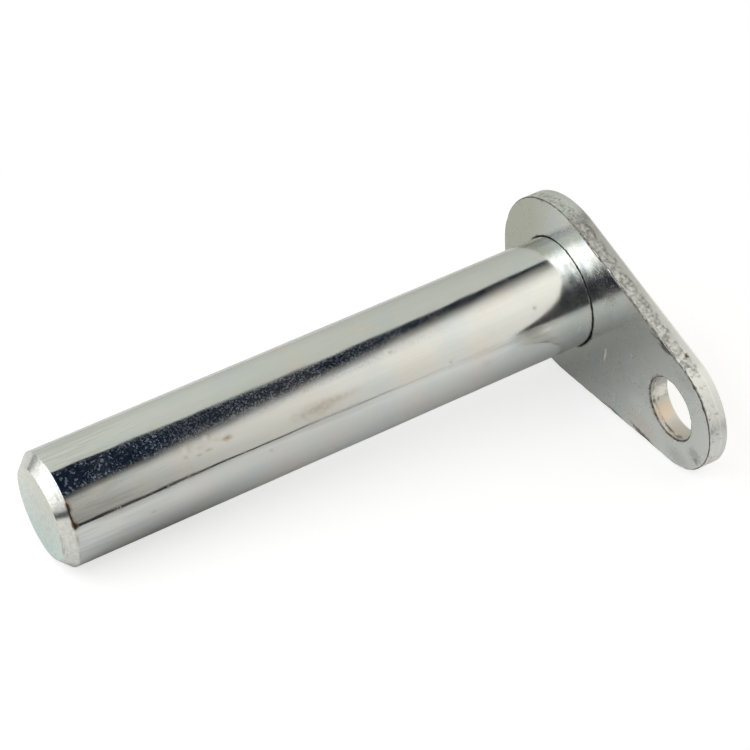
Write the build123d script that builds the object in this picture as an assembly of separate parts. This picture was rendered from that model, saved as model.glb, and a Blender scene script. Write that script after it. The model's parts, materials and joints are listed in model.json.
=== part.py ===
from build123d import *
from math import acos, asin, atan2, cos, degrees, hypot, pi, radians, sin, tan
import os

# Flag-type clevis pin: a round steel bar whose turned-down end sits in a punched plate and is
# held there by a fillet weld on the far side. A small bolt through the plate's tail stops the pin
# from turning and from coming out of its clevis.
#
# Millimetres, +Z up. The pin lies as it comes to rest on a flat bench: on one straight flank of
# the plate and on the rim of the bar's free end. +X runs along the bar from its free end towards
# the plate, and the plate's tail points to -Y. The origin is the middle of the footprint box.

# Bar
BAR_DIAMETER = 25.0
REACH = 124.0  # from the plate's front face to the free end
LEAD_CHAMFER = 2.5  # 45 degree lead-in at the free end
SEAT_STEP = 0.25  # how much the radius is turned down where the bar enters the plate
REAR_CHAMFER = 0.8

# Plate
PLATE_THICKNESS = 4.5
HEAD_RADIUS = 21.5  # round end about the bar
TAIL_RADIUS = 14.0  # round end about the retaining bolt
ARC_CENTRES = 40.0  # from the bar's axis to the tail arc's centre
SEAT_CLEARANCE = 0.4  # radial, between the turned-down seat and its punched hole
RETAINING_HOLE_DIAMETER = 14.0
HOLE_BEYOND_ARC = 0.5  # how far past the tail arc's centre the hole is punched
FRONT_ROLLOVER = 0.5  # edge radius that punching leaves round the outline's front
REAR_BREAK = 0.25  # burr taken off round the outline's back
SEAT_HOLE_BEVEL = 0.3  # at the hole's front edge
RETAINING_HOLE_BEVEL = 0.4  # at the hole's front edge

# Weld
WELD_LEG = 3.5  # along the bar and along the plate
TOE_MARGIN = 0.2  # bar left bare between the weld and the rear chamfer
WELD_CROWN_DEPTH = 2.0  # how far under the joint's corner the crown is centred
RIPPLE_PITCH = 2.2  # along the middle of the bead
RIPPLE_STEP = 0.3  # how much each ripple swells before the next one starts

# Sizes that follow from the ones above
BAR_RADIUS = BAR_DIAMETER / 2
SEAT_RADIUS = BAR_RADIUS - SEAT_STEP
SEAT_HOLE_RADIUS = SEAT_RADIUS + SEAT_CLEARANCE
REAR_END = PLATE_THICKNESS + WELD_LEG + TOE_MARGIN + REAR_CHAMFER
FLANK_ANGLE = asin((HEAD_RADIUS - TAIL_RADIUS) / ARC_CENTRES)  # flank to centre line


def make_pin_shaft():
    """Bar turned in one piece: lead-in chamfer, shank, and the seat that enters the plate.

    Drawn as a half section and turned about X, with the plate's front face at X = 0.
    """
    half_section = Polyline(
        (-REACH, 0),
        (-REACH, BAR_RADIUS - LEAD_CHAMFER),
        (-REACH + LEAD_CHAMFER, BAR_RADIUS),
        (0, BAR_RADIUS),
        (0, SEAT_RADIUS),
        (REAR_END - REAR_CHAMFER, SEAT_RADIUS),
        (REAR_END, SEAT_RADIUS - REAR_CHAMFER),
        (REAR_END, 0),
        close=True,
    )
    return revolve(make_face(half_section), axis=Axis.X)


def flag_outline():
    """Two round ends joined by the straight flanks that touch both, the tail along local X."""
    head_touch = HEAD_RADIUS * Vector(sin(FLANK_ANGLE), cos(FLANK_ANGLE))
    tail_touch = TAIL_RADIUS * Vector(sin(FLANK_ANGLE), cos(FLANK_ANGLE)) + Vector(ARC_CENTRES, 0)
    head_mirror = Vector(head_touch.X, -head_touch.Y)
    tail_mirror = Vector(tail_touch.X, -tail_touch.Y)
    return make_face(
        [
            ThreePointArc(head_touch, (-HEAD_RADIUS, 0), head_mirror),
            Line(head_mirror, tail_mirror),
            ThreePointArc(tail_mirror, (ARC_CENTRES + TAIL_RADIUS, 0), tail_touch),
            Line(tail_touch, head_touch),
        ]
    )


def hole_space(radius, bevel):
    """What a punched hole takes out of the plate: a straight bore, bevelled at the front face."""
    half_section = Polyline(
        (0, 0),
        (0, radius + bevel),
        (bevel, radius),
        (PLATE_THICKNESS, radius),
        (PLATE_THICKNESS, 0),
        close=True,
    )
    return revolve(make_face(half_section), axis=Axis.X)


def make_flag_plate():
    """Plate punched from flat steel: rolled front edge, two holes, and its lower flank level."""
    tail_direction = Vector(0, -cos(FLANK_ANGLE), -sin(FLANK_ANGLE))
    front = Plane(origin=(0, 0, 0), x_dir=tail_direction, z_dir=(1, 0, 0))
    blank = extrude(front * flag_outline(), amount=PLATE_THICKNESS)
    front_outline = blank.faces().sort_by(Axis.X)[0].outer_wire().edges()
    blank = fillet(front_outline, FRONT_ROLLOVER)
    rear_outline = blank.faces().sort_by(Axis.X)[-1].outer_wire().edges()
    blank = chamfer(rear_outline, REAR_BREAK)

    seat_hole = hole_space(SEAT_HOLE_RADIUS, SEAT_HOLE_BEVEL)
    retaining_place = Pos((ARC_CENTRES + HOLE_BEYOND_ARC) * tail_direction)
    retaining_hole = retaining_place * hole_space(RETAINING_HOLE_DIAMETER / 2, RETAINING_HOLE_BEVEL)
    return blank - seat_hole - retaining_hole


def make_weld_bead():
    """Fillet weld laid right round the bar behind the plate, as a ring of overlapping ripples.

    A ripple is a slice of a blunt cone lying along the direction of travel, with its axis under
    the joint's corner. It is cut to the space between the seat, the plate's back and two planes
    through the bar's axis, so that the ripples close on each other and on both steel faces.
    """
    bead_middle = SEAT_RADIUS + WELD_LEG / 2
    ripple_count = round(2 * pi * bead_middle / RIPPLE_PITCH)
    slice_angle = 360 / ripple_count
    crown_radius = hypot(WELD_CROWN_DEPTH, WELD_LEG + WELD_CROWN_DEPTH)
    slice_width = 2 * (SEAT_RADIUS + WELD_LEG) * tan(radians(slice_angle / 2))
    crown_place = Pos(PLATE_THICKNESS - WELD_CROWN_DEPTH, SEAT_RADIUS - WELD_CROWN_DEPTH)
    cone = crown_place * Cone(crown_radius - RIPPLE_STEP, crown_radius, slice_width)

    room_place = Pos(PLATE_THICKNESS, SEAT_RADIUS)
    room_section = room_place * Rectangle(2 * WELD_LEG, 2 * WELD_LEG, align=(Align.MIN, Align.MIN))
    room = Rot(X=-slice_angle / 2) * revolve(room_section, Axis.X, revolution_arc=slice_angle)
    ripple = cone & room
    ripples = [Rot(X=index * slice_angle) * ripple for index in range(ripple_count)]
    return ripples[0].fuse(*ripples[1:])


def resting_tilt():
    """How far the bar dips towards its free end when chamfer rim and plate flank both touch."""
    drop = HEAD_RADIUS - FRONT_ROLLOVER - BAR_RADIUS
    run = REACH - LEAD_CHAMFER + FRONT_ROLLOVER
    return acos(-FRONT_ROLLOVER / hypot(drop, run)) - atan2(run, drop)


pieces = {
    "pin_shaft": make_pin_shaft(),
    "flag_plate": make_flag_plate(),
    "weld_bead": make_weld_bead(),
}

tilt = resting_tilt()
tilted = Rot(Y=-degrees(tilt))
footprint = Compound([tilted * piece for piece in pieces.values()]).bounding_box().center()
bench_height = -(REACH - LEAD_CHAMFER) * sin(tilt) - BAR_RADIUS * cos(tilt)
resting = Pos(-footprint.X, -footprint.Y, -bench_height) * tilted

os.makedirs("parts", exist_ok=True)
for name, piece in pieces.items():
    export_step(resting * piece, f"parts/{name}.step")
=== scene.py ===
import json
from functools import partial, reduce
from math import asin, cos, hypot, pi, radians, sin, tau

import bmesh
import bpy
import numpy as np
from mathutils import Matrix, Vector


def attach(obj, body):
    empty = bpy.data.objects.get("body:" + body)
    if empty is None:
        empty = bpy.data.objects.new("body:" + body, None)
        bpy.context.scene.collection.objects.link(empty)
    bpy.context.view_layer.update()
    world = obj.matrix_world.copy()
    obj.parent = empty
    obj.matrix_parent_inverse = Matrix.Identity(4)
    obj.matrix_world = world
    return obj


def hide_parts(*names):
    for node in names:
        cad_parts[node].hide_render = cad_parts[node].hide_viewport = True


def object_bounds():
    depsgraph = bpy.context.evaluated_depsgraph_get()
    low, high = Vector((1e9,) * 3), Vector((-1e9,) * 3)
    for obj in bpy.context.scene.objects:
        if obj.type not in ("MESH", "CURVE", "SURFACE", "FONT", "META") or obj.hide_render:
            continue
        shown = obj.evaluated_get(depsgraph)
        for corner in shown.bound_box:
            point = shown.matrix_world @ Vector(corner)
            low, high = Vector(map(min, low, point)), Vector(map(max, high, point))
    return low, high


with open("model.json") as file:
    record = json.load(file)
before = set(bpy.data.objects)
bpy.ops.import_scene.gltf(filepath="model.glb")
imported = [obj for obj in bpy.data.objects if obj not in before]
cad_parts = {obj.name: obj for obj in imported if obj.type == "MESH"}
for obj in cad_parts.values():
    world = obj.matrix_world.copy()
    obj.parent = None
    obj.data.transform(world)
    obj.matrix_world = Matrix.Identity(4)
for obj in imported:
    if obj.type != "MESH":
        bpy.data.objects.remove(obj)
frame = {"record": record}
cad_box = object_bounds()
mounts = {mount["name"]: mount for mount in frame["record"]["mounts"]}

# ------------------------------------------------------------------------------------------------
# Pin shaft: one steel bar, turned all over, with a 45 degree lead-in at its free end and a seat
# that enters the plate. It is bright zinc plated, handled, and a little scuffed by its clevis.

MM = 0.001
MERGE_DISTANCE = 2e-6
MAP_PER_MM = 0.01  # how far a surface map runs for each mm of surface

# The pin's own axes: along the bar towards the plate, out to the front, and up. Its origin is
# where the bar's axis meets the plate's front face.
shank = mounts["shank"]
along_axis = -Vector(shank["axis"])
up_axis = (Vector((0, 0, 1)) - along_axis.z * along_axis).normalized()
front_axis = along_axis.cross(up_axis)
pin_axes = np.array([along_axis, front_axis, up_axis])
face_centre = Vector(shank["pos_m"]) + along_axis * shank["dims"]["length_mm"] / 2 * MM

BAR_RADIUS = shank["dims"]["r_mm"]
LEAD_CHAMFER = 2.5
FREE_END = -(shank["dims"]["length_mm"] + LEAD_CHAMFER)
SEAT_STEP = 0.25
SEAT_RADIUS = BAR_RADIUS - SEAT_STEP
REAR_END = 9.0
REAR_CHAMFER = 0.8
TURN_STEP = 0.5  # spacing of the rings along the profile
TURN_COLUMNS = 280
ARC_POINTS = 6  # on each rounded corner of the profile
GUARD_SHARE = 0.12  # of a corner's radius, from its arc to the point that keeps the straight flat
SKIN_MARGIN = 0.02  # keeps the bar's skin just inside the solid it stands for
LAPPING_DEPTH = 0.01
FULL_KNOCK = 0.04  # depth of a knock that shows fully
END_FACE_FADE = 0.3  # how far the end face's colour reaches past its rim
LEAD_IN_FADE = 0.2


def softened(corners, radii, step):
    """A polyline whose corners are arcs: each arc touches both sides at radius / tan(half angle)
    from its corner, and the straights between are cut into equal steps.
    """
    corners = np.array(corners, float)
    pieces = [corners[:1]]
    for before, corner, after, radius in zip(corners, corners[1:], corners[2:], radii):
        back = (before - corner) / np.linalg.norm(before - corner)
        ahead = (after - corner) / np.linalg.norm(after - corner)
        half = np.arccos(np.clip(back @ ahead, -1, 1)) / 2
        reach = radius / np.tan(half)
        middle = corner + (back + ahead) / np.linalg.norm(back + ahead) * radius / np.sin(half)
        start = corner + back * reach - middle
        end = corner + ahead * reach - middle
        share = np.linspace(0, 1, ARC_POINTS)[:, None]
        opening = np.arccos(np.clip(start @ end / radius**2, -1, 1))
        arc = (np.sin((1 - share) * opening) * start + np.sin(share * opening) * end) / np.sin(opening)
        guard = reach + GUARD_SHARE * radius
        pieces.append(np.vstack([corner + back * guard, middle + arc, corner + ahead * guard]))
    pieces.append(corners[-1:])
    runs = []
    for piece, following in zip(pieces, pieces[1:]):
        runs.append(piece)
        gap = np.linalg.norm(following[0] - piece[-1])
        count = max(int(np.ceil(gap / step)), 1)
        share = np.linspace(0, 1, count + 1)[1:-1, None]
        runs.append(piece[-1] + share * (following[0] - piece[-1]))
    runs.append(pieces[-1])
    return np.vstack(runs)


def cell_corners(grid):
    """What a grid (rows x columns x values) holds at the four corners of each of its cells, in order
    round the cell, as one row for each cell.
    """
    around = (grid[:-1, :-1], grid[:-1, 1:], grid[1:, 1:], grid[1:, :-1])
    return np.concatenate(around, -1).reshape(-1, 4 * grid.shape[-1])


def added(name, data):
    """A new object in the scene, made from a mesh, a camera or a lamp."""
    made = bpy.data.objects.new(name, data)
    bpy.context.scene.collection.objects.link(made)
    return made


def skin(name, surfaces):
    """One closed mesh from several grids of points in pin axes (rows x columns x 3, in mm), each
    with its own surface map and its own values to keep at its points. Points that coincide are
    merged, so that grids which share an edge close on each other.
    """
    points, quads, maps, offset = [], [], [], 0
    for grid, surface_map, values in surfaces:
        rows, columns = grid.shape[:2]
        index = np.arange(rows * columns).reshape(rows, columns, 1) + offset
        offset += rows * columns
        points.append(grid.reshape(-1, 3))
        quads.append(cell_corners(index))
        maps.append(cell_corners(surface_map))
    points = np.vstack(points)
    mesh = bpy.data.meshes.new(name)
    mesh.from_pydata(np.array(face_centre) + points * MM @ pin_axes, [], np.vstack(quads))
    surface_uv = mesh.uv_layers.new(name="surface")
    surface_uv.data.foreach_set("uv", np.vstack(maps).astype(np.float32).ravel())
    for key, sample in surfaces[0][2].items():
        width = sample.shape[2:] if isinstance(sample, np.ndarray) else ()
        kind, field = ("FLOAT_VECTOR", "vector") if width == (3,) else ("FLOAT", "value")
        spread = [np.broadcast_to(values[key], grid.shape[:2] + width) for grid, _, values in surfaces]
        layer = mesh.attributes.new(key, kind, "POINT")
        layer.data.foreach_set(field, np.concatenate([part.ravel() for part in spread]).astype(np.float32))
    working = bmesh.new()
    working.from_mesh(mesh)
    bmesh.ops.remove_doubles(working, verts=working.verts, dist=MERGE_DISTANCE)
    working.to_mesh(mesh)
    working.free()
    mesh.shade_smooth()
    return added(name, mesh)


def ripples(seed, places, wavelength, count=24):
    """Soft random relief of about unit height: a sum of plane waves whose directions, lengths and
    phases are drawn at random, with lengths spread about the given one.
    """
    draw = np.random.default_rng(seed)
    directions = draw.normal(size=(count, places.shape[-1]))
    directions /= np.linalg.norm(directions, axis=1, keepdims=True)
    lengths = wavelength * draw.uniform(0.6, 1.6, count)
    phases = draw.uniform(0, tau, count)
    waves = places.reshape(-1, places.shape[-1]) @ (directions / lengths[:, None]).T * tau
    return (np.cos(waves + phases).sum(1) * np.sqrt(2 / count)).reshape(places.shape[:-1])


# Knocks and stains on the bar: place along it, degrees round from the top to the front, length
# along it, width round it, and depth in mm or strength.
KNOCKS = [
    (-94.8, 50, 0.45, 0.8, 0.03),
    (-92.6, 52, 0.8, 0.35, 0.035),
    (-90.0, 47, 0.35, 0.8, 0.03),
    (-88.8, 51, 0.7, 0.4, 0.04),
    (-86.3, 53, 0.8, 0.7, 0.035),
    (-78.0, 82, 0.4, 0.4, 0.04),
    (-47.0, 40, 0.5, 0.5, 0.03),
    (-35.0, 72, 0.4, 0.4, 0.05),
    (-13.0, 56, 0.4, 0.4, 0.06),
    (-27.5, 85, 0.4, 0.4, 0.04),
    (-26.0, 90, 0.4, 0.4, 0.035),
    (-28.5, 93, 0.3, 0.4, 0.03),
    (-105.0, 93, 0.4, 0.4, 0.04),
    (-60.0, 205, 1.0, 0.6, 0.06),
    (-96.0, 250, 0.8, 0.5, 0.06),
    (-22.0, 300, 0.7, 0.7, 0.05),
]
STAINS = [
    (-66.5, 62, 6.0, 1.7, 0.4),
    (-59.0, 60, 5.5, 0.9, 0.18),
    (-86.2, 54, 1.2, 0.55, 0.6),
    (-90.6, 57, 0.8, 0.35, 0.5),
    (-92.8, 58, 0.7, 0.3, 0.4),
    (-95.6, 55, 0.5, 0.45, 0.36),
    (-91.0, 50, 4.5, 1.0, 0.14),
    (-121.2, 53, 0.4, 0.9, 1.1),
    (-121.2, 58, 0.3, 0.5, 0.8),
    (-121.2, 73, 0.6, 0.8, 1.2),
    (-121.6, 65, 0.2, 1.6, 0.7),
    (-27.0, 89, 1.6, 1.2, 0.16),
    (-13.0, 56, 0.5, 0.5, 0.4),
    (-35.0, 72, 0.5, 0.4, 0.34),
    (-78.0, 82, 0.5, 0.5, 0.26),
    (-105.0, 93, 0.5, 0.5, 0.32),
    (-47.0, 40, 0.6, 0.6, 0.22),
    (-70.0, 215, 9.0, 2.0, 0.4),
    (-40.0, 265, 3.0, 1.2, 0.35),
]


def spots(table, along, angle):
    """The sum of bell-shaped spots: each falls off along the bar and round it as exp(-d * d)."""
    total = np.zeros_like(along)
    for place, degrees_round, length, width, strength in table:
        turned = (angle - radians(degrees_round) + pi) % tau - pi
        total += strength * np.exp(-(((along - place) / length) ** 2) - (turned * BAR_RADIUS / width) ** 2)
    return total


def rim_wear(along, radius, angle):
    """Where the plating has rubbed off the lead-in's two corners: a narrow band at each, strongest
    on the front, broken up round the bar.
    """
    around = np.stack([np.cos(angle), np.sin(angle)], -1)
    broken = np.clip(0.75 + 0.3 * ripples(3, around, 0.28), 0, 1)
    outer = np.exp(-(((along - FREE_END - LEAD_CHAMFER) / 0.2) ** 2)) * (radius > BAR_RADIUS - 0.8)
    inner = np.exp(-(((along - FREE_END) / 0.16) ** 2)) * (radius > BAR_RADIUS - LEAD_CHAMFER - 0.25)
    front = np.exp(-(((angle - radians(64)) / radians(18)) ** 2))
    lower = np.exp(-(((angle - radians(98)) / radians(30)) ** 2))
    return (outer * (0.75 * front + 0.45 * lower + 0.06) + inner * (0.55 * lower + 0.03)) * broken


bar_profile = softened(
    [
        (FREE_END, 0),
        (FREE_END, BAR_RADIUS - LEAD_CHAMFER),
        (FREE_END + LEAD_CHAMFER, BAR_RADIUS),
        (0, BAR_RADIUS),
        (0, SEAT_RADIUS),
        (REAR_END - REAR_CHAMFER, SEAT_RADIUS),
        (REAR_END, SEAT_RADIUS - REAR_CHAMFER),
        (REAR_END, 0),
    ],
    [0.3, 0.25, 0.1, 0.1, 0.2, 0.2],
    TURN_STEP,
)
turn = np.linspace(-pi, pi, TURN_COLUMNS + 1)
profile_run = np.concatenate([[0], np.cumsum(np.linalg.norm(np.diff(bar_profile, axis=0), axis=1))])
along, angle = np.meshgrid(bar_profile[:, 0], turn, indexing="ij")
radius = np.broadcast_to(bar_profile[:, 1:], along.shape)
outside = radius > SEAT_RADIUS - LEAD_CHAMFER
sunk = spots(KNOCKS, along, angle) * outside
round_bar = [along / 3, BAR_RADIUS * np.sin(angle), BAR_RADIUS * np.cos(angle)]
lapped = LAPPING_DEPTH * ripples(4, np.stack(round_bar, -1), 7.0)
turned_radius = np.clip(radius - sunk - (lapped + SKIN_MARGIN) * outside, 0, None)
bar_grid = np.stack([along, turned_radius * np.sin(angle), turned_radius * np.cos(angle)], -1)
bar_map = np.stack(np.meshgrid(profile_run, turn * BAR_RADIUS, indexing="ij"), -1) * MAP_PER_MM
bar_values = {
    "place_mm": bar_grid,
    "knocked": sunk / FULL_KNOCK,
    "stained": spots(STAINS, along, angle) * outside + rim_wear(along, radius, angle),
    "end_face": np.clip(1 - (along - FREE_END) / END_FACE_FADE, 0, 1),
    "lead_in": np.clip(1 - (along - FREE_END - LEAD_CHAMFER) / LEAD_IN_FADE, 0, 1),
}
pin_shaft = skin("pin_shaft_plated", [(bar_grid, bar_map, bar_values)])


def fitted(tree, kind, inputs, **settings):
    """Add a shader node to a tree. Each input gets a plain value or a link from another output."""
    made = tree.nodes.new("ShaderNode" + kind)
    for key, value in settings.items():
        setattr(made, key, value)
    for key, value in inputs.items():
        if isinstance(value, bpy.types.NodeSocket):
            tree.links.new(value, made.inputs[key])
        else:
            made.inputs[key].default_value = value
    return made


def worked(tree, operation, *values):
    """One step of arithmetic on values or outputs."""
    return fitted(tree, "Math", dict(enumerate(values)), operation=operation).outputs[0]


def product(tree, *values):
    """Values or outputs multiplied together."""
    return reduce(partial(worked, tree, "MULTIPLY"), values)


def combined(tree, operation, *parts):
    """Several products of values or outputs, added up or compared for the largest."""
    return reduce(partial(worked, tree, operation), [product(tree, *part) for part in parts])


def vectored(tree, operation, *values, output="Vector"):
    """One step of arithmetic on vectors."""
    return fitted(tree, "VectorMath", dict(enumerate(values)), operation=operation).outputs[output]


def graded(tree, value, low, high, to_low=0.0, to_high=1.0):
    """A value brought smoothly from between low and high to between to_low and to_high."""
    inputs = {"Value": value, "From Min": low, "From Max": high, "To Min": to_low, "To Max": to_high}
    return fitted(tree, "MapRange", inputs, interpolation_type="SMOOTHSTEP").outputs[0]


def blended(tree, share, first, second):
    """A colour between two others."""
    return fitted(tree, "Mix", {0: share, 6: first, 7: second}, data_type="RGBA").outputs[2]


def grained(tree, place, scale, detail=2.0):
    """Noise on a place given in mm, with the scale in features per mm, or one for each axis."""
    if isinstance(scale, tuple):
        place = vectored(tree, "MULTIPLY", place, scale)
        scale = 1.0
    return fitted(tree, "TexNoise", {"Vector": place, "Scale": scale, "Detail": detail}).outputs[0]


def kept(tree, name, output="Fac"):
    """What the mesh keeps at its points under that name."""
    return fitted(tree, "Attribute", {}, attribute_name=name).outputs[output]


def placed(tree, group, inputs):
    """The outputs of a node group that is put into a material with its own values."""
    return fitted(tree, "Group", inputs, node_tree=group).outputs


def new_finish(name):
    """A new material, and the tree in which its colour, roughness and relief are worked out."""
    finish = bpy.data.materials.new(name)
    finish.use_nodes = True
    return finish, finish.node_tree


def dress_in_metal(tree, colour, roughness, height):
    """Join a colour, a roughness and a relief's height in mm to the material's shader, as metal."""
    relief = fitted(tree, "Bump", {"Height": height, "Distance": MM, "Strength": 1.0})
    surface = tree.nodes["Principled BSDF"].inputs
    surface["Metallic"].default_value = 1
    tree.links.new(colour, surface["Base Color"])
    tree.links.new(roughness, surface["Roughness"])
    tree.links.new(relief.outputs[0], surface["Normal"])


def effect(name, inputs, outputs):
    """A new node group with its named sockets, and where its wiring starts and ends."""
    group = bpy.data.node_groups.new(name, "ShaderNodeTree")
    for side, sockets in (("INPUT", inputs), ("OUTPUT", outputs)):
        for label, kind in sockets.items():
            group.interface.new_socket(label, in_out=side, socket_type="NodeSocket" + kind)
    start, end = group.nodes.new("NodeGroupInput"), group.nodes.new("NodeGroupOutput")
    return group, start.outputs, end.inputs


def make_film_clouds():
    """Colour of the zinc film: soft patches of a warm and of a cool tint over its base colour."""
    group, given, result = effect(
        "film_clouds",
        {
            "Place": "Vector",
            "Base": "Color",
            "Warm": "Color",
            "Cool": "Color",
            "Patches per mm": "Float",
            "Amount": "Float",
        },
        {"Colour": "Color", "Cloud": "Float"},
    )
    elsewhere = vectored(group, "ADD", given["Place"], (71, 13, 37))
    warm = grained(group, given["Place"], given["Patches per mm"], 3.0)
    cool = grained(group, elsewhere, given["Patches per mm"], 3.0)
    warm_share = product(group, graded(group, warm, 0.45, 0.7), given["Amount"])
    cool_share = product(group, graded(group, cool, 0.45, 0.7), given["Amount"])
    warmed = blended(group, warm_share, given["Base"], given["Warm"])
    group.links.new(blended(group, cool_share, warmed, given["Cool"]), result["Colour"])
    group.links.new(warm, result["Cloud"])
    return group


def make_matt_specks():
    """Tiny matt pits in the film, where noise rises over a level: where they are, and their dip."""
    group, given, result = effect(
        "matt_specks",
        {"Place": "Vector", "Specks per mm": "Float", "Level": "Float", "Amount": "Float"},
        {"Specks": "Float", "Height": "Float"},
    )
    noise = grained(group, given["Place"], given["Specks per mm"])
    above = worked(group, "SUBTRACT", noise, given["Level"])
    specks = product(group, graded(group, above, 0.0, 0.07), given["Amount"])
    group.links.new(specks, result["Specks"])
    group.links.new(product(group, specks, -1.0), result["Height"])
    return group


def make_fine_lines():
    """Fine lines, as from turning or rubbing: where stretched noise crosses its middle value, in
    the places that a second noise picks out.
    """
    group, given, result = effect(
        "fine_lines",
        {"Place": "Vector", "Across": "Vector", "Width": "Float", "Level": "Float"},
        {"Lines": "Float"},
    )
    noise = grained(group, vectored(group, "MULTIPLY", given["Place"], given["Across"]), 1.0, 1.0)
    off_middle = worked(group, "ABSOLUTE", worked(group, "SUBTRACT", noise, 0.5))
    line = worked(group, "SUBTRACT", 1.0, worked(group, "DIVIDE", off_middle, given["Width"]))
    picked = grained(group, given["Place"], 0.35, 1.0)
    shown = graded(group, worked(group, "SUBTRACT", picked, given["Level"]), 0.0, 0.08)
    group.links.new(product(group, worked(group, "MAXIMUM", line, 0.0), shown), result["Lines"])
    return group


film_clouds = make_film_clouds()
matt_specks = make_matt_specks()
fine_lines = make_fine_lines()

# The bar's colours: its film, what tints or dulls it, and what shows where it is gone.
BAR_FILM = (0.735, 0.75, 0.735, 1)
WARM_BAR_FILM = (0.77, 0.735, 0.69, 1)
COOL_BAR_FILM = (0.67, 0.735, 0.755, 1)
LEAD_IN_FILM = (0.8, 0.8, 0.76, 1)
END_GREEN = (0.83, 0.99, 0.94, 1)
END_CREAM = (0.87, 0.88, 0.79, 1)
SCORE_BROWN = (0.4, 0.36, 0.33, 1)
BRUSHED_GREY = (0.52, 0.53, 0.52, 1)
HAZE_BLUE = (0.62, 0.69, 0.8, 1)
SPECK_BLUE = (0.35, 0.44, 0.6, 1)
WORN_FILM = (0.54, 0.49, 0.43, 1)
STAIN_BROWN = (0.14, 0.09, 0.07, 1)
RUBBED_ANGLE = 0.56  # radians round from the top to the front, the middle of the scuffed side


def make_bar_finish():
    """Bright zinc over turned steel: clouded tint, a blue haze and specks on the scuffed side, fine
    rings from the lathe, brown stains where the film is rubbed through, and a pale green end face.
    """
    finish, tree = new_finish("plated_turned_steel")
    place = kept(tree, "place_mm", "Vector")
    end_face = kept(tree, "end_face")
    lead_in = kept(tree, "lead_in")
    split = fitted(tree, "SeparateXYZ", {0: place}).outputs
    along_bar = split[0]
    scuffed_side = (0, sin(RUBBED_ANGLE) / BAR_RADIUS, cos(RUBBED_ANGLE) / BAR_RADIUS)
    facing = vectored(tree, "DOT_PRODUCT", place, scuffed_side, output="Value")
    rubbed_side = graded(tree, facing, 0.966, 0.986)
    near_end = graded(tree, along_bar, -80.0, -100.0)

    clouds = placed(tree, film_clouds, {
        "Place": place,
        "Base": BAR_FILM,
        "Warm": WARM_BAR_FILM,
        "Cool": COOL_BAR_FILM,
        "Patches per mm": 0.11,
        "Amount": 0.7,
    })
    clumps = graded(tree, grained(tree, place, 0.8, 3.0), 0.36, 0.6, 0.2, 1.0)
    specks = placed(tree, matt_specks, {
        "Place": place,
        "Specks per mm": 2.0,
        "Level": 0.52,
        "Amount": product(tree, near_end, rubbed_side, clumps),
    })
    off_end = graded(tree, along_bar, -112.0, -92.0, 0.6)
    off_plate = graded(tree, along_bar, -12.0, -60.0)
    coarse = graded(tree, grained(tree, place, 2.2, 3.0), 0.42, 0.66, 0.06, 0.72)
    haze = product(tree, off_end, off_plate, rubbed_side, coarse)
    rings = placed(
        tree, fine_lines, {"Place": place, "Across": (1.6, 0.03, 0.03), "Width": 0.035, "Level": 0.5}
    )["Lines"]
    rubs = placed(
        tree, fine_lines, {"Place": place, "Across": (0.12, 1.1, 1.1), "Width": 0.02, "Level": 0.53}
    )["Lines"]
    lines = worked(tree, "MAXIMUM", rings, rubs)

    ragged = graded(tree, grained(tree, place, 0.9), 0.35, 0.62, 0.8, 1.12)
    stain = combined(tree, "ADD", (kept(tree, "stained"), ragged), (kept(tree, "knocked"), 0.1))
    stain = worked(tree, "MINIMUM", stain, 1.0)
    end_colour = blended(tree, graded(tree, split[2], -8.0, 8.0), END_GREEN, END_CREAM)
    filmed = blended(tree, lead_in, clouds["Colour"], LEAD_IN_FILM)
    filmed = blended(tree, end_face, filmed, end_colour)
    filmed = blended(tree, product(tree, rings, lead_in, 0.8), filmed, SCORE_BROWN)
    streaks = graded(tree, grained(tree, place, (0.1, 1.6, 1.6)), 0.42, 0.6)
    brushed = product(tree, streaks, graded(tree, along_bar, -96.0, -112.0, 0.05, 0.36))
    filmed = blended(tree, brushed, filmed, BRUSHED_GREY)
    filmed = blended(tree, product(tree, haze, 0.8), filmed, HAZE_BLUE)
    filmed = blended(tree, product(tree, specks["Specks"], 0.9), filmed, SPECK_BLUE)
    worn = blended(tree, graded(tree, stain, 0.0, 0.6), filmed, WORN_FILM)
    colour = blended(tree, graded(tree, stain, 0.5, 1.0), worn, STAIN_BROWN)

    near_lines = product(tree, lines, worked(tree, "MULTIPLY_ADD", near_end, 0.2, 0.15))
    matt = combined(
        tree, "MAXIMUM", (near_lines,), (haze, 0.7), (specks["Specks"], 0.9), (stain, 0.5), (lead_in, 0.3)
    )
    clouded = graded(tree, clouds["Cloud"], 0.35, 0.65, 0.09, 0.15)
    by_plate = graded(tree, along_bar, -22.0, -6.0)
    roughness = combined(tree, "ADD", (clouded,), (by_plate, 0.02), (near_end, -0.03), (matt, 0.28))
    lathe = grained(tree, place, (4.0, 0.02, 0.02), 1.0)
    lapping = grained(tree, place, (0.1, 0.3, 0.3), 1.0)
    pits = specks["Height"]
    height = combined(tree, "ADD", (lathe, 0.0006), (lapping, 0.05), (pits, 0.001), (lines, -0.001))
    dress_in_metal(tree, colour, roughness, height)
    return finish


pin_shaft.data.materials.append(make_bar_finish())
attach(pin_shaft, "root")
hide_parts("pin_shaft")

# ------------------------------------------------------------------------------------------------
# Flag plate: punched from flat strip from behind, so that its front corner is ragged and the edge
# behind it is torn, then smooth. It was zinc plated after the pin was welded into it.

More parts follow.
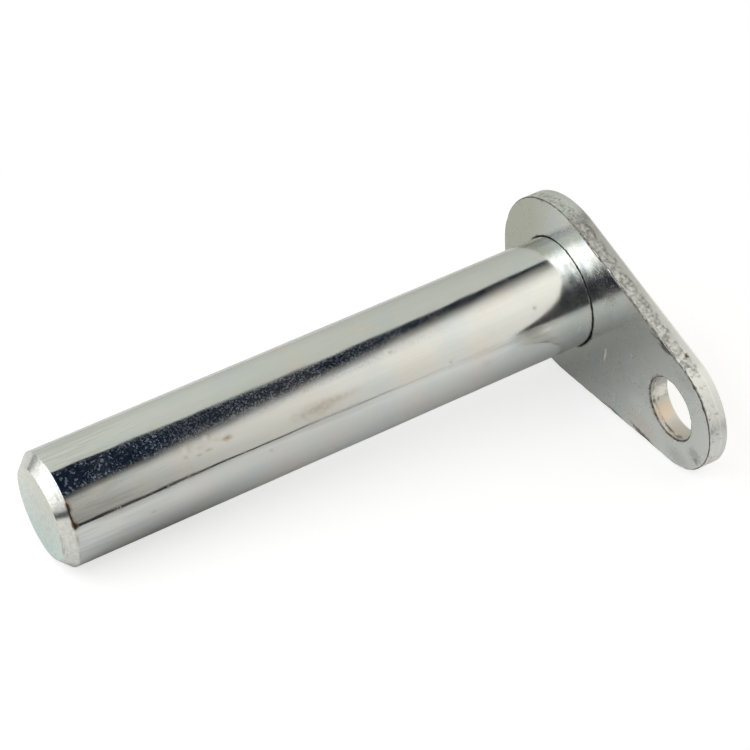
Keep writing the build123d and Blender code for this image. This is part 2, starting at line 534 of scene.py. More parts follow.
retaining_hole = mounts["retaining_hole"]
to_hole = pin_axes @ (np.array(retaining_hole["pos_m"]) - face_centre) / MM
HOLE_CENTRE = hypot(to_hole[1], to_hole[2])
HOLE_RADIUS = retaining_hole["dims"]["r_mm"]
PLATE_THICKNESS = 4.5
HEAD_RADIUS = 21.5
TAIL_RADIUS = 14.0
HOLE_BEYOND_ARC = 0.5
ARC_CENTRES = HOLE_CENTRE - HOLE_BEYOND_ARC
SEAT_CLEARANCE = 0.4
SEAT_HOLE_RADIUS = SEAT_RADIUS + SEAT_CLEARANCE
SEAT_HOLE_CENTRE = (-0.05, -0.12)  # along and across the tail: the bar was welded a little off centre
EDGE_MARGIN = 0.004  # keeps the skin just inside the solid it stands for
SPLIT_PLACE = 22.0  # along the tail, where the two face patches meet
OUTLINE_STEP = 0.3
CORNER_WIDTH = 0.22  # of the rounded front corner, on the face
CORNER_DEPTH = 0.22  # of the same corner, on the edge
SEAT_HOLE_CORNER = 0.18
RETAINING_HOLE_CORNER = 0.35
NICK_DEPTH = 0.2
TORN_END = 3.05  # depth at which the torn part of the edge ends
HOLE_TORN_END = 1.25  # the same in the retaining hole
TORN_STAND_BACK = 0.02
TORN_RELIEF = 0.035
TORN_FADE = 0.35  # last share of the torn part, over which it comes out again
SMOOTH_GAP = 0.15  # from the torn part's end to the first ring of the smooth part
REAR_BREAK = 0.3
FACE_ROWS = 26
FACE_HOLLOW = 0.012  # how far the faces' middles lie inside the solid
FACE_WAVE = 0.008  # how much the faces wave
RIM_SHARE = 0.012  # of a face's width, which its rim of dirt and painted shade takes up
CALM_TAIL = 42.0  # along the tail, from where its edge is less torn

flank_angle = asin((HEAD_RADIUS - TAIL_RADIUS) / ARC_CENTRES)
tail_direction = np.array([0, to_hole[1], to_hole[2]]) / HOLE_CENTRE
across_direction = np.array([0, -to_hole[2], to_hole[1]]) / HOLE_CENTRE


def plate_points(place):
    """From plate axes (along the tail, across it, depth behind the front face) to pin axes."""
    return place @ np.array([tail_direction, across_direction, [1, 0, 0]])


def stacked(*parts):
    """Arrays of one shape each, made into one array of points."""
    return np.stack(np.broadcast_arrays(*parts), -1)


def steps(length):
    """How many outline steps a stretch of that length takes."""
    return int(np.ceil(length / OUTLINE_STEP))


def flag_outline():
    """Points and outward normals round the flag, in plate axes (along the tail, across it).

    Two arcs joined by the flanks that touch both: every point is its arc's centre plus radius
    times normal, and a flank has one normal all along. It starts on the upper flank at the split,
    runs round the head to the lower flank, and comes back round the tail.
    """
    flank_normal = pi / 2 - flank_angle
    head_turn = tau - 2 * flank_normal
    head_side = np.linspace(flank_normal, tau - flank_normal, steps(head_turn * HEAD_RADIUS))
    tail_side = np.linspace(-flank_normal, flank_normal, steps(2 * flank_normal * TAIL_RADIUS))
    head_touch = HEAD_RADIUS * sin(flank_angle)
    tail_touch = ARC_CENTRES + TAIL_RADIUS * sin(flank_angle)
    to_head = np.linspace(SPLIT_PLACE, head_touch, steps(SPLIT_PLACE - head_touch))[:-1]
    to_tail = np.linspace(SPLIT_PLACE, tail_touch, steps(tail_touch - SPLIT_PLACE))[:-1]

    def flank(tail, side):
        across = (HEAD_RADIUS - tail * sin(flank_angle)) / cos(flank_angle)
        return stacked(tail, side * across), stacked(sin(flank_angle) + 0 * tail, side * cos(flank_angle))

    def arc(centre, radius, turns):
        normal = stacked(np.cos(turns), np.sin(turns))
        return np.array([centre, 0]) + radius * normal, normal

    head_half = [flank(to_head, 1), arc(0, HEAD_RADIUS, head_side), flank(to_head[::-1], -1)]
    tail_half = [flank(to_tail[1:], -1), arc(ARC_CENTRES, TAIL_RADIUS, tail_side), flank(to_tail[::-1], 1)]
    points, normals = (np.vstack([part[k] for part in head_half + tail_half]) for k in (0, 1))
    return points - EDGE_MARGIN * normals, normals, sum(len(part[0]) for part in head_half)


outline, outline_normal, head_count = flag_outline()


def punched_section(corner_depth, torn_end, rear_break):
    """What a punched wall is like from front to rear: a quarter ellipse for the front corner, a torn
    part that stands back a little and comes out again, a smooth part, and a quarter round at the
    rear. The columns are depth, share of the corner's width, further inset, how torn, how nicked.
    """
    bend = np.linspace(0, pi / 2, 8)
    fade = 0 * bend
    inset = TORN_STAND_BACK * np.sin(bend)
    corner = stacked(corner_depth * (1 - np.cos(bend)), 1 - np.sin(bend), inset, fade, np.cos(bend) ** 0.5)
    share = np.linspace(0, 1, 13)[1:]
    eased = np.clip((1 - share) / TORN_FADE, 0, 1)
    torn_depth = corner_depth + share * (torn_end - corner_depth)
    torn = stacked(torn_depth, 0, TORN_STAND_BACK * eased, eased**0.4, 0)
    rear_start = PLATE_THICKNESS - rear_break
    smooth = stacked(np.linspace(torn_end + SMOOTH_GAP, rear_start, 6), 0, 0, 0, 0)
    rear_bend = bend[1::2]
    rear = stacked(rear_start + rear_break * np.sin(rear_bend), 0, rear_break * (1 - np.cos(rear_bend)), 0, 0)
    return np.vstack([corner, torn, smooth, rear])


def punched_wall(points, normals, width, section, seed, bore):
    """The section carried round a closed line: each point moves inwards by the section's inset, by
    the relief of its torn part and by the nicks in its front corner. Gives the wall's points in
    plate axes, and what is to be kept at them.
    """
    depth, corner, inset, torn, nicked = (section[:, k, None] for k in range(5))
    flat = stacked(points[None, :, 0], points[None, :, 1], depth)
    tongues = 0.6 * ripples(seed, flat * [1, 1, 0.6], 1.5) + 0.6 * ripples(seed + 1, flat * [1, 1, 0.8], 0.7)
    nicks = ripples(seed + 2, flat * [1, 1, 0.3], 1.6) + 0.6 * ripples(seed + 3, flat * [1, 1, 0.3], 4.0)
    nick = nicked * NICK_DEPTH * np.clip(nicks, 0, 2) / 2
    nick = np.minimum(nick, np.maximum((1 - corner) * width - inset, 0))
    moved = corner * width + inset + nick + torn * TORN_RELIEF * np.clip(tongues + 0.5, 0, 2)
    shifted = points - moved[..., None] * normals
    place = stacked(shifted[..., 0], shifted[..., 1], depth)
    by_tail = np.clip((points[:, 0] - CALM_TAIL) / 5, 0, 1)
    corner_end = section[section[:, 1] > 0, 0].max()
    lip_middle = section[section[:, 3] > 0, 0].max() + 0.08
    on_corner = np.clip(1.6 - (depth / corner_end) ** 4, 0, 1)
    values = {
        "place_mm": place,
        "torn": torn * np.clip(0.6 + 0.4 * tongues - 0.45 * by_tail, 0, 1),
        # Dirt and painted shade along the front corner, fuller where it is nicked and towards the tail.
        "grimy_and_shaded": on_corner * np.clip(0.9 + 0.2 * nicks + 0.3 * by_tail, 0.72, 1),
        "lip": np.exp(-(((depth - lip_middle) / 0.1) ** 2)),
        "wall": 1.0,
        "bore": bore,
    }
    return place, values


# Where the front corner was dented wider: along the tail, across it, reach, and extra width.
DENTS = [
    (36.0, 14.5, 2.2, 0.75),
    (47.0, 12.1, 0.7, 0.3),
    (50.6, 9.2, 0.7, 0.3),
    (20.0, -17.9, 1.2, 0.3),
    (34.0, -15.3, 3.5, 0.35),
    (-9.0, 19.5, 1.5, 0.25),
]
corner_width = CORNER_WIDTH + sum(
    extra * np.exp(-(((outline - [tail, across]) / reach) ** 2).sum(1))
    for tail, across, reach, extra in DENTS
)
section = punched_section(CORNER_DEPTH, TORN_END, REAR_BREAK)[::-1]
loop = np.append(np.arange(len(outline)), 0)
wall_place, wall_values = punched_wall(
    outline[loop], outline_normal[loop], corner_width[loop], section, 11, 0.0
)
wall_map = stacked(section[:, 0, None], loop * OUTLINE_STEP) * MAP_PER_MM
plate_surfaces = [(plate_points(wall_place), wall_map, wall_values)]

head_loop = np.arange(head_count)
tail_loop = np.append(np.arange(head_count - 1, len(outline)), 0)
for centre, part, hole_radius, corner_depth, torn_end, seed in (
    (SEAT_HOLE_CENTRE, head_loop, SEAT_HOLE_RADIUS, SEAT_HOLE_CORNER, TORN_END, 31),
    ((HOLE_CENTRE, 0.0), tail_loop, HOLE_RADIUS, RETAINING_HOLE_CORNER, HOLE_TORN_END, 41),
):
    hole = punched_section(corner_depth, torn_end, REAR_BREAK / 2)
    share = np.append(0, np.linspace(RIM_SHARE, 1, FACE_ROWS))[:, None, None]
    spoke = None
    for side, inset, depth in ((0, corner_width[part, None], 0.0), (-1, section[0, 2], PLATE_THICKNESS)):
        rim = outline[part] - inset * outline_normal[part]
        cross = np.linspace(rim[-1], rim[0], steps(2 * HEAD_RADIUS))[1:]
        rim = np.vstack([rim, cross])
        if spoke is None:
            spoke = (rim - centre) / np.linalg.norm(rim - centre, axis=1, keepdims=True)
        bore = centre + (hole_radius + hole[side, 1] * corner_depth + hole[side, 2]) * spoke
        flat = (1 - share) * rim + share * bore
        swell = FACE_WAVE * ripples(21, flat, 9.0) + FACE_HOLLOW
        inwards = (1 if side == 0 else -1) * np.sin(pi * share[..., 0]) * swell
        place = stacked(flat[..., 0], flat[..., 1], depth + inwards)
        order = slice(None) if side == 0 else slice(None, None, -1)
        # Dirt and painted shade on the front face's rim beside the corner.
        on_rim = (np.arange(len(rim)) < len(part)) * (0.8 if side == 0 else 0.0)
        grime_and_shade = np.clip(1 - share[..., 0] / RIM_SHARE, 0, 1)[order] * on_rim
        values = {"place_mm": place[order], "torn": 0.0, "grimy_and_shaded": grime_and_shade, "lip": 0.0, "wall": 0.0, "bore": 0.0}
        plate_surfaces.append((plate_points(place[order]), flat[order] * MAP_PER_MM, values))
    line = centre + hole_radius * spoke
    width = np.full(len(spoke), corner_depth)
    wall_place, wall_values = punched_wall(line, -spoke, width, hole, seed, 1.0)
    wall_map = stacked(hole[:, 0, None], np.arange(len(spoke)) * OUTLINE_STEP) * MAP_PER_MM
    plate_surfaces.append((plate_points(wall_place), wall_map, wall_values))

flag_plate = skin("flag_plate_plated", plate_surfaces)

# Marks on the plate: place along the tail and across it, depth behind the front face, and how far
# the mark reaches each way, in mm. The last number is how strong it is.
# Scratches that show bright, and a painted highlight: the mark at 33.7 along and 2.6 deep lies on the
# retaining hole's wall, where light falls into the hole.
SCRATCHES_AND_HIGHLIGHTS = [
    (17.6, -4.0, 0.0, 0.5, 2.8, 0.3, 1.0),
    (40.4, 14.0, 0.3, 0.7, 0.6, 0.5, 1.0),
    (26.0, 3.0, 0.0, 0.5, 0.9, 0.3, 0.4),
    (30.0, -8.0, 0.0, 4.0, 3.0, 0.5, 0.35),
    (33.7, -2.2, 2.6, 1.3, 1.8, 2.6, 1.0),
]
# Pits, nicks and dirt, with painted shade among them: the dark blob from 33.5 to 36.2 along on the upper
# flank's front corner is painted shade, and the faint patch at 16 along, 13 across on the face is a painted
# dark reflection of the bar.
DIRT_AND_SHADE_MARKS = [
    (40.1, 14.0, 2.6, 0.8, 0.6, 0.6, 1.0),
    (42.5, 13.8, 1.4, 0.6, 0.5, 0.5, 0.6),
    (36.2, 13.8, 0.0, 2.2, 0.45, 0.6, 0.9),
    (33.5, 14.7, 0.0, 2.5, 0.35, 0.5, 0.6),
    (46.9, 12.0, 0.0, 0.7, 0.5, 0.5, 0.9),
    (50.4, 9.1, 0.0, 0.7, 0.5, 0.5, 0.8),
    (50.5, -6.5, 0.0, 0.9, 1.2, 0.6, 0.6),
    (50.0, -5.5, 0.0, 2.6, 2.2, 0.6, 0.32),
    (45.0, -11.0, 0.0, 5.0, 3.0, 0.6, 0.16),
    (44.0, 11.0, 0.0, 4.0, 2.0, 0.6, 0.1),
    (34.2, -3.6, 0.7, 0.6, 0.5, 0.4, 0.8),
    (34.2, -3.4, 1.9, 0.5, 0.4, 0.35, 0.6),
    (39.8, -7.0, 1.1, 2.8, 0.6, 0.38, 0.75),
    (43.5, -6.4, 1.0, 2.0, 0.7, 0.6, 0.6),
    (34.5, -14.9, 0.0, 7.0, 0.7, 0.6, 0.8),
    (24.0, -16.9, 0.0, 4.0, 0.4, 0.5, 0.6),
    (16.0, 13.0, 0.0, 3.5, 2.6, 0.5, 0.2),
    (33.7, 2.5, 1.0, 1.0, 2.5, 1.6, 0.3),
]
WARM_MARKS = [
    (32.0, -12.5, 0.0, 6.5, 3.6, 1.0, 0.35),
    (36.2, -5.6, 2.2, 3.0, 2.8, 2.8, 1.0),
    (41.5, -7.0, 2.2, 4.5, 2.5, 2.8, 0.4),
]


def make_spot():
    """One mark: 1 inside an ellipsoid about its centre, fading to 0, with an uneven border."""
    group, given, result = effect(
        "spot",
        {"Place": "Vector", "Centre": "Vector", "Reach": "Vector", "Strength": "Float"},
        {"Mask": "Float"},
    )
    offset = vectored(group, "SUBTRACT", given["Place"], given["Centre"])
    distance = vectored(group, "LENGTH", vectored(group, "DIVIDE", offset, given["Reach"]), output="Value")
    uneven = worked(group, "MULTIPLY_ADD", grained(group, given["Place"], 1.3, 3.0), 1.4, -0.7)
    inside = graded(group, worked(group, "ADD", distance, uneven), 1.15, 0.35)
    group.links.new(product(group, inside, given["Strength"]), result["Mask"])
    return group


spot = make_spot()


def marked(tree, place, marks):
    """The strongest of a list of marks."""
    masks = []
    for *where, strength in marks:
        inputs = {"Place": place, "Centre": where[:3], "Reach": where[3:], "Strength": strength}
        masks.append(placed(tree, spot, inputs)["Mask"])
    return reduce(partial(worked, tree, "MAXIMUM"), masks)


# The plate's colours: its film, from the head to the tail with painted reflection in it (dark on the head,
# paler in the middle), then its edge, and what marks it.
PLATE_FILM = (0.715, 0.735, 0.715, 1)
WARM_PLATE_FILM = (0.73, 0.715, 0.66, 1)
COOL_PLATE_FILM = (0.64, 0.715, 0.735, 1)
HEAD_PAINTED_SHADE = (0.5, 0.51, 0.44, 1)
MIDDLE_PAINTED_SHEEN = (0.8, 0.815, 0.79, 1)
TAIL_SILVER = (0.7, 0.72, 0.7, 1)
EDGE_SILVER = (0.7, 0.72, 0.71, 1)
BORE_GREY = (0.65, 0.65, 0.63, 1)
LIP_PAINTED_HIGHLIGHT = (0.92, 0.92, 0.9, 1)
TORN_GREY = (0.41, 0.41, 0.39, 1)
TORN_SILVER = (0.78, 0.79, 0.76, 1)
WARM_STREAK = (0.76, 0.65, 0.54, 1)
SCRATCH_AND_HIGHLIGHT_WHITE = (0.95, 0.95, 0.92, 1)
GRIME_AND_SHADE_BROWN = (0.13, 0.11, 0.09, 1)


def make_plate_finish():
    """Duller zinc over strip that was left as rolled: mottled grey with painted reflection (dark on the head,
    paler in the middle), silver and grey on its torn edge with a painted highlight along its lip, brown in
    its nicks and marks with painted shade along the front corner, and scratches and one painted highlight
    that show bright.
    """
    finish, tree = new_finish("plated_strip_steel")
    place = kept(tree, "place_mm", "Vector")
    torn = kept(tree, "torn")
    wall = kept(tree, "wall")
    bore = kept(tree, "bore")
    along_tail = fitted(tree, "SeparateXYZ", {0: place}).outputs[0]
    clouds = placed(tree, film_clouds, {
        "Place": place,
        "Base": PLATE_FILM,
        "Warm": WARM_PLATE_FILM,
        "Cool": COOL_PLATE_FILM,
        "Patches per mm": 0.13,
        "Amount": 0.8,
    })
    specks = placed(tree, matt_specks, {"Place": place, "Specks per mm": 1.6, "Level": 0.55, "Amount": 1.0})
    lines = placed(
        tree, fine_lines, {"Place": place, "Across": (0.7, 0.09, 0.5), "Width": 0.02, "Level": 0.5}
    )["Lines"]
    mottle = grained(tree, place, 1.4, 4.0)

    # Painted reflection: the film turns dark olive towards the head and pales from the bar towards the
    # retaining hole, then comes back to plain silver at the tail.
    faced = blended(tree, graded(tree, along_tail, 2.0, -14.0, 0.0, 0.9), clouds["Colour"], HEAD_PAINTED_SHADE)
    faced = blended(tree, graded(tree, along_tail, 14.0, 32.0, 0.0, 0.8), faced, MIDDLE_PAINTED_SHEEN)
    faced = blended(tree, graded(tree, along_tail, 32.0, 50.0), faced, TAIL_SILVER)
    walled = blended(tree, wall, faced, EDGE_SILVER)
    walled = blended(tree, bore, walled, BORE_GREY)
    # Painted highlight: a thin white line along the lip where the torn part of the edge ends.
    walled = blended(tree, kept(tree, "lip"), walled, LIP_PAINTED_HIGHLIGHT)
    torn_colour = blended(tree, graded(tree, mottle, 0.38, 0.62), TORN_GREY, TORN_SILVER)
    edged = blended(tree, graded(tree, torn, 0.1, 0.6, 0.0, 0.85), walled, torn_colour)
    warmed = blended(tree, marked(tree, place, WARM_MARKS), edged, WARM_STREAK)
    # Scratches, and the painted highlight on the retaining hole's wall.
    bright = marked(tree, place, SCRATCHES_AND_HIGHLIGHTS)
    scratched_and_lit = blended(tree, bright, warmed, SCRATCH_AND_HIGHLIGHT_WHITE)
    # Dirt and painted shade along the front corner, then the dark marks.
    grime_and_shade = product(tree, kept(tree, "grimy_and_shaded"), graded(tree, mottle, 0.35, 0.6, 0.82, 1.15))
    grime_and_shade = worked(tree, "MAXIMUM", grime_and_shade, marked(tree, place, DIRT_AND_SHADE_MARKS))
    colour = blended(tree, worked(tree, "MINIMUM", grime_and_shade, 1.0), scratched_and_lit, GRIME_AND_SHADE_BROWN)

    walls = worked(tree, "MULTIPLY_ADD", bore, 0.7, product(tree, wall, 0.3))
    matt = combined(
        tree, "MAXIMUM", (torn, 0.9), (grime_and_shade, 0.9), (specks["Specks"], 0.35), (bright, 0.8), (walls,)
    )
    clouded = graded(tree, clouds["Cloud"], 0.35, 0.65, 0.14, 0.2)
    roughness = combined(tree, "ADD", (clouded,), (matt, 0.3))
    rolled = grained(tree, place, 0.22, 1.0)
    fine_relief = combined(tree, "ADD", (mottle, 0.003), (specks["Height"], 0.001), (lines, -0.0015))
    height = combined(tree, "ADD", (rolled, 0.045), (fine_relief,), (mottle, torn, 0.03), (bright, 0.15))
    dress_in_metal(tree, colour, roughness, height)
    return finish


flag_plate.data.materials.append(make_plate_finish())
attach(flag_plate, "root")
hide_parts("flag_plate")

# ------------------------------------------------------------------------------------------------
# Weld bead: one run of weld metal laid right round the seat behind the plate, in overlapping
# ripples that trail behind the torch. It was plated with the rest, so only its toes are brown.

WELD_LEG = 3.5
BEAD_MIDDLE = SEAT_RADIUS + WELD_LEG / 2
WELD_CROWN = 0.55
CROWN_LEAN = 0.7  # share of the crown's swell that goes outwards, and as much rearwards
LEG_WANDER = 0.05
RIPPLE_PITCH = 2.2
RIPPLE_HEIGHT = 0.22
RIPPLE_CLIMB = 0.82  # share of a ripple's pitch over which it climbs
WELD_COLUMNS = 720
WELD_ROWS = 30

weld_turn = np.linspace(0, tau, WELD_COLUMNS + 1)
across_bead = np.linspace(0, 1, WELD_ROWS)


def weld_ring():
    """The bead as a ring: its section swells from the plate's back to the seat like a sine over
    the straight line between its toes, and each ripple climbs slowly and drops at its front edge,
    later at the toes than in the middle.
    """
    share, around = np.meshgrid(across_bead, weld_turn, indexing="ij")
    places = stacked(share * WELD_LEG, BEAD_MIDDLE * np.cos(around), BEAD_MIDDLE * np.sin(around))
    wander = ripples(51, places, 6.0)
    ripple_count = round(tau * BEAD_MIDDLE / RIPPLE_PITCH)
    phase = around / tau * ripple_count - 1.1 * (2 * share - 1) ** 2 + 0.12 * wander
    step = phase - np.floor(phase)
    ripple = np.where(step < RIPPLE_CLIMB, step / RIPPLE_CLIMB, (1 - step) / (1 - RIPPLE_CLIMB))
    fade = np.sin(pi * share)
    leg_back = WELD_LEG * (1 + LEG_WANDER * (ripples(52, places[..., 1:], 7.0) - 1))
    leg_seat = WELD_LEG * (1 + LEG_WANDER * (ripples(53, places[..., 1:], 7.0) - 1))
    swell = fade**0.8 * (WELD_CROWN * (1 + 0.15 * wander) + RIPPLE_HEIGHT * (ripple - 0.6))
    outwards = (1 - share) * leg_back + swell * CROWN_LEAN
    rearwards = share * leg_seat + swell * CROWN_LEAN
    radius = SEAT_RADIUS + outwards
    ring = stacked(PLATE_THICKNESS + rearwards, radius * np.sin(around), radius * np.cos(around))
    return ring, ripple * fade, 1 - fade


weld_grid, weld_crest, weld_toe = weld_ring()
corner = stacked(PLATE_THICKNESS, SEAT_RADIUS * np.sin(weld_turn), SEAT_RADIUS * np.cos(weld_turn))
weld_grid = np.concatenate([weld_grid, corner[None], weld_grid[:1]])
weld_values = {
    "place_mm": weld_grid,
    "crest": np.concatenate([weld_crest, weld_crest[:1] * 0, weld_crest[:1]]),
    "toe": np.concatenate([weld_toe, weld_toe[:1], weld_toe[:1]]),
}
weld_map = np.stack(np.meshgrid(np.arange(WELD_ROWS + 2) / WELD_ROWS, weld_turn, indexing="ij"), -1)
weld_bead = skin("weld_bead_plated", [(weld_grid, weld_map, weld_values)])

WELD_FILM = (0.6, 0.615, 0.595, 1)
WARM_WELD_FILM = (0.6, 0.56, 0.49, 1)
COOL_WELD_FILM = (0.52, 0.58, 0.6, 1)
CREST_SILVER = (0.72, 0.73, 0.71, 1)
TOE_BROWN = (0.26, 0.2, 0.15, 1)


def make_weld_finish():
    """Zinc over weld metal: duller than the bar, paler on the crests of its ripples, with brown
    left at its toes.
    """
    finish, tree = new_finish("plated_weld_metal")
    place = kept(tree, "place_mm", "Vector")
    clouds = placed(tree, film_clouds, {
        "Place": place,
        "Base": WELD_FILM,
        "Warm": WARM_WELD_FILM,
        "Cool": COOL_WELD_FILM,
        "Patches per mm": 0.3,
        "Amount": 0.9,
    })
    specks = placed(tree, matt_specks, {"Place": place, "Specks per mm": 2.2, "Level": 0.54, "Amount": 1.0})
    crested = graded(tree, kept(tree, "crest"), 0.2, 0.9, 0.0, 0.5)
    by_toe = product(tree, kept(tree, "toe"), grained(tree, place, 0.9, 3.0))
    browned = graded(tree, by_toe, 0.3, 0.55, 0.0, 0.8)
    colour = blended(tree, browned, blended(tree, crested, clouds["Colour"], CREST_SILVER), TOE_BROWN)
    matt = combined(tree, "MAXIMUM", (specks["Specks"], 0.6), (browned,))
    roughness = worked(tree, "MULTIPLY_ADD", matt, 0.3, 0.3)
    dress_in_metal(tree, colour, roughness, product(tree, specks["Height"], 0.02))
    return finish


weld_bead.data.materials.append(make_weld_finish())
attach(weld_bead, "root")
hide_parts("weld_bead")

# ------------------------------------------------------------------------------------------------
# Studio: a pale table whose front edge ends short of the camera, a grey sweep behind and above
# it, a bright diffuser on the left, a warmer one on the right, and a dark room behind the camera.

VIEW_AZIMUTH = radians(-30.03)
VIEW_ELEVATION = radians(34.83)
VIEW_ROLL = radians(-1.52)
VIEW_DISTANCE = 0.52713
AIM_FROM_MIDDLE = Vector((0.008518, 0.011812, -0.00158))
LENS_MM = 122.451
SENSOR_MM = 36

camera = added("camera", bpy.data.cameras.new("camera"))
bpy.context.scene.camera = camera
camera.data.lens = LENS_MM
camera.data.sensor_width = SENSOR_MM
camera.matrix_world = (
    Matrix.Translation((cad_box[0] + cad_box[1]) / 2 + AIM_FROM_MIDDLE)
    @ Matrix.Rotation(VIEW_AZIMUTH, 4, "Z")
    @ Matrix.Rotation(pi / 2 - VIEW_ELEVATION, 4, "X")
    @ Matrix.Rotation(VIEW_ROLL, 4, "Z")
    @ Matrix.Translation((0, 0, VIEW_DISTANCE))
)

# The stage's own axes, in metres: to the camera's right, ahead of it along the floor, and up.
stage_axes = np.array(Matrix.Rotation(-VIEW_AZIMUTH, 3, "Z"))


def emptied(material):
    """A material's (or the world's) node tree with only an output in it, and where that is fed."""
    material.use_nodes = True
    tree = material.node_tree
    tree.nodes.clear()
    kind = "ShaderNodeOutputWorld" if isinstance(material, bpy.types.World) else "ShaderNodeOutputMaterial"
    return tree, tree.nodes.new(kind).inputs["Surface"]


def stage_sheet(name, points, key, values):
    """A sheet from a grid of points (right, ahead, up) with a value at each, and its material."""
    rows, columns = points.shape[:2]
    index = np.arange(rows * columns).reshape(rows, columns, 1)
    mesh = bpy.data.meshes.new(name)
    mesh.from_pydata(points.reshape(-1, 3) @ stage_axes, [], cell_corners(index))
    layer = mesh.attributes.new(key, "FLOAT", "POINT")
    layer.data.foreach_set("value", np.broadcast_to(values, (rows, columns)).astype(np.float32).ravel())
    material = bpy.data.materials.new(name)
    mesh.materials.append(material)
    sheet = added(name, mesh)
    return sheet, material


def glowing_sheet(name, right, ahead, up, glow, colour):
    """A sheet that lights the pin, unseen by the camera, with its own glow at each point."""
    sheet, material = stage_sheet(name, stacked(right, ahead, up), "glow", glow)
    sheet.visible_camera = False
    tree, surface = emptied(material)
    light = {"Color": (*colour, 1), "Strength": kept(tree, "glow")}
    tree.links.new(fitted(tree, "Emission", light).outputs[0], surface)


# Right diffuser: brightest beside the plate, fading towards the camera and at its upper edge.
ahead = np.array([-0.6, -0.3, -0.24, -0.2, -0.14, -0.09, -0.05, 0.0, 0.15, 0.5])
glow_ahead = np.array([0.1, 0.24, 0.47, 0.66, 0.8, 0.93, 1.02, 1.13, 1.1, 0.9])
right = np.array([0.1, 0.12, 0.135, 0.15, 0.16, 0.165, 0.17])[:, None]
up = np.array([0.3, 0.285, 0.262, 0.225, 0.15, 0.08, 0.0])[:, None]
up = up + (up == 0) * np.interp(ahead, [-0.24, -0.17], [0.0045, 0.0])
glow_up = np.array([0.03, 0.3, 0.76, 1.03, 1.05, 0.95, 0.86])[:, None]
glowing_sheet("right_diffuser", right, ahead, up, glow_ahead * glow_up, (1.0, 0.965, 0.89))

# Left diffuser: its inner edge slants away to the left, and behind the pin it is only a side wall.
ahead = np.array([-0.5, -0.35, -0.25, -0.15, -0.1, -0.05, 0.0, 0.05, 0.1, 0.15, 0.2, 0.54])
inner = np.array([-0.03, -0.035, -0.032, -0.04, -0.06, -0.075, -0.1, -0.14, -0.22, -0.35, -0.44, -0.45])
glow_ahead = np.array([1.1, 1.15, 1.3, 1.6, 1.6, 1.55, 1.45, 1.3, 1.15, 1.0, 0.62, 0.57])
inner_glow = np.array([1.3, 1.8, 2.3, 2.7, 2.9, 3.0, 2.85, 2.2, 1.25, 1.0, 0.62, 0.57])
reach = np.array([0.0, 0.25, 0.45, 0.75, 1.0])[:, None]
right = inner + reach * (-0.5 - inner)
up = np.array([0.3, 0.275, 0.24, 0.14, 0.0])[:, None]
glow_up = np.array([1.0, 0.95, 0.92, 1.05, 0.55])[:, None]
glow = np.where(reach < 0.3, inner_glow, glow_ahead) * glow_up
glowing_sheet("left_diffuser", right, ahead, up, glow, (1.0, 1.0, 0.99))

# Back sweep: a grey ceiling that comes down behind the pin; its front edge draws back on the right.
right = np.array([-0.45, -0.1, -0.03, 0.0, 0.037, 0.07, 0.088, 0.105, 0.14])
front_edge = np.array([0.066, 0.066, 0.065, 0.068, 0.087, 0.122, 0.175, 0.25, 0.31])
share = np.array([0.0, 0.5, 1.0, 1.0, 1.0])[:, None]
ahead = front_edge + share * (0.42 - front_edge) + np.array([0.0, 0.0, 0.0, 0.1, 0.12])[:, None]
up = np.array([0.3, 0.3, 0.255, 0.12, 0.0])[:, None]
glow_right = np.array([1.14, 0.98, 0.91, 0.89, 0.89, 0.9, 0.9, 0.88, 0.86])
glow_up = np.array([0.74, 0.74, 0.7, 0.62, 0.56])[:, None]
glowing_sheet("back_sweep", right, ahead, up, glow_right * glow_up, (0.98, 1.0, 0.91))

PAPER_SHADE = 0.78
TABLE_FRONT = -0.105
TABLE_BACK = 0.56
TABLE_SIDE = 0.5
TABLE_DROP = 0.0001  # keeps the table just under the floor


def patch(right, ahead, middle, reach):
    """A soft round patch of the table: 1 in its middle, falling off as exp(-d * d)."""
    across = (right - middle[0]) / reach[0]
    along = (ahead - middle[1]) / reach[1]
    return np.exp(-(across**2) - along**2)


def table_shade(right, ahead):
    """Pale paper, with a painted pool of light on the right and painted shadows in four soft patches near the
    pin.
    """
    under_end = patch(right, ahead, (-0.045, -0.012), (0.028, 0.014))
    in_front = patch(right, ahead, (0.03, -0.085), (0.06, 0.025))
    beside_plate = patch(right, ahead, (0.06, -0.052), (0.016, 0.016))
    past_tail = patch(right, ahead, (0.12, -0.022), (0.032, 0.024))
    painted_light_on_right = np.clip((right - 0.015) / 0.06, 0, 1) * np.clip((0.055 - np.abs(ahead + 0.025)) / 0.03, 0, 1)
    painted_shadows = 0.42 * under_end + 0.18 * in_front + 0.3 * beside_plate + 0.5 * past_tail
    return PAPER_SHADE * (1 - painted_shadows + 0.24 * painted_light_on_right)


# The table that the pin reflects and is lit from. Its front edge is what the dark line is.
right = np.linspace(-TABLE_SIDE, TABLE_SIDE, 201)
right, ahead = np.meshgrid(right, np.linspace(TABLE_FRONT, TABLE_BACK, 134))
table, table_paper = stage_sheet("table", stacked(right, ahead, 0.0), "shade", table_shade(right, ahead))
table.visible_camera = False
table.location.z = -TABLE_DROP
tree, surface = emptied(table_paper)
paper = fitted(tree, "BsdfDiffuse", {"Color": kept(tree, "shade", "Color")})
tree.links.new(paper.outputs[0], surface)

# A small soft lamp low on the right lights only the table, where it is brightest.
LAMP_PLACE = np.array([0.05, -0.13, 0.24])
LAMP_TURNED_FROM = np.array([0.02, -0.13, 0.24])
LAMP_SIZE = 0.08
LAMP_WATTS = 0.035
side_lamp = added("side_lamp", bpy.data.lights.new("side_lamp", "AREA"))
side_lamp.data.size = LAMP_SIZE
side_lamp.data.energy = LAMP_WATTS
side_lamp.location = Vector(LAMP_PLACE @ stage_axes)
side_lamp.rotation_euler = Vector(LAMP_TURNED_FROM @ stage_axes).to_track_quat("Z", "Y").to_euler()
side_lamp.visible_glossy = False
side_lamp.visible_camera = False

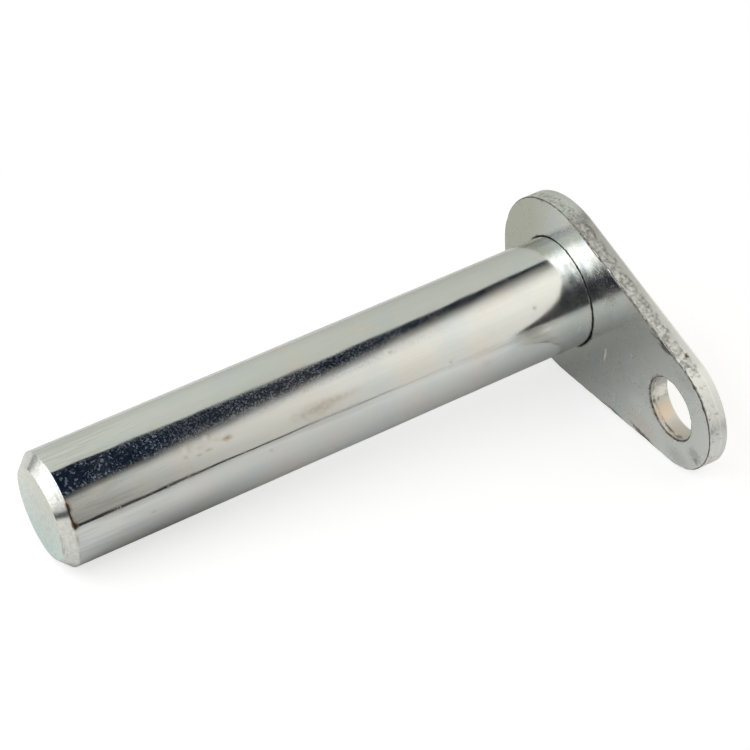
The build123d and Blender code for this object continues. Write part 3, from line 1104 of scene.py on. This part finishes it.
# The floor that the camera sees: white, with only the soft shadow of the pin on it, which fades
# out with distance so that the floor has no visible end.
FLOOR_REACH = 3.0
SHADOW_FADE = (0.085, 0.165)  # distances from the origin over which the shadow fades out
FLOOR_GREY = (0.42, 0.42, 0.42, 1)  # the part of its white that a shadow can take away
FLOOR_GLOW = 0.68
right, ahead = np.meshgrid([-FLOOR_REACH, FLOOR_REACH], [-FLOOR_REACH, FLOOR_REACH])
floor, floor_paper = stage_sheet("floor", stacked(right, ahead, 0.0), "shade", 0.0)
floor.visible_glossy = False
floor.visible_diffuse = False
floor.visible_shadow = False
tree, surface = emptied(floor_paper)
place = fitted(tree, "TexCoord", {}).outputs["Object"]
far = graded(tree, vectored(tree, "LENGTH", place, output="Value"), *SHADOW_FADE)
paper_seen = fitted(tree, "BsdfDiffuse", {"Color": FLOOR_GREY}).outputs[0]
paper_glow = fitted(tree, "Emission", {"Strength": FLOOR_GLOW}).outputs[0]
near_floor = fitted(tree, "AddShader", {0: paper_seen, 1: paper_glow}).outputs[0]
far_floor = fitted(tree, "Emission", {}).outputs[0]
mix = fitted(tree, "MixShader", {0: far, 1: near_floor, 2: far_floor})
tree.links.new(mix.outputs[0], surface)

# The room: white behind everything the camera sees, and dark for what the pin reflects: a faint
# violet at the horizon and blue overhead.
HORIZON_VIOLET = (0.034, 0.032, 0.038, 1)
OVERHEAD_BLUE = (0.007, 0.013, 0.026, 1)
room = bpy.data.worlds.new("room")
bpy.context.scene.world = room
tree, surface = emptied(room)
direction = fitted(tree, "TexCoord", {}).outputs["Generated"]
height = fitted(tree, "SeparateXYZ", {0: direction}).outputs["Z"]
darkness = blended(tree, graded(tree, height, -0.05, 0.25), HORIZON_VIOLET, OVERHEAD_BLUE)
dark = fitted(tree, "Background", {"Color": darkness}).outputs[0]
white = fitted(tree, "Background", {"Color": (1, 1, 1, 1)}).outputs[0]
seen = fitted(tree, "LightPath", {}).outputs["Is Camera Ray"]
mix = fitted(tree, "MixShader", {0: seen, 1: dark, 2: white})
tree.links.new(mix.outputs[0], surface)

bpy.context.scene.view_settings.view_transform = "Standard"
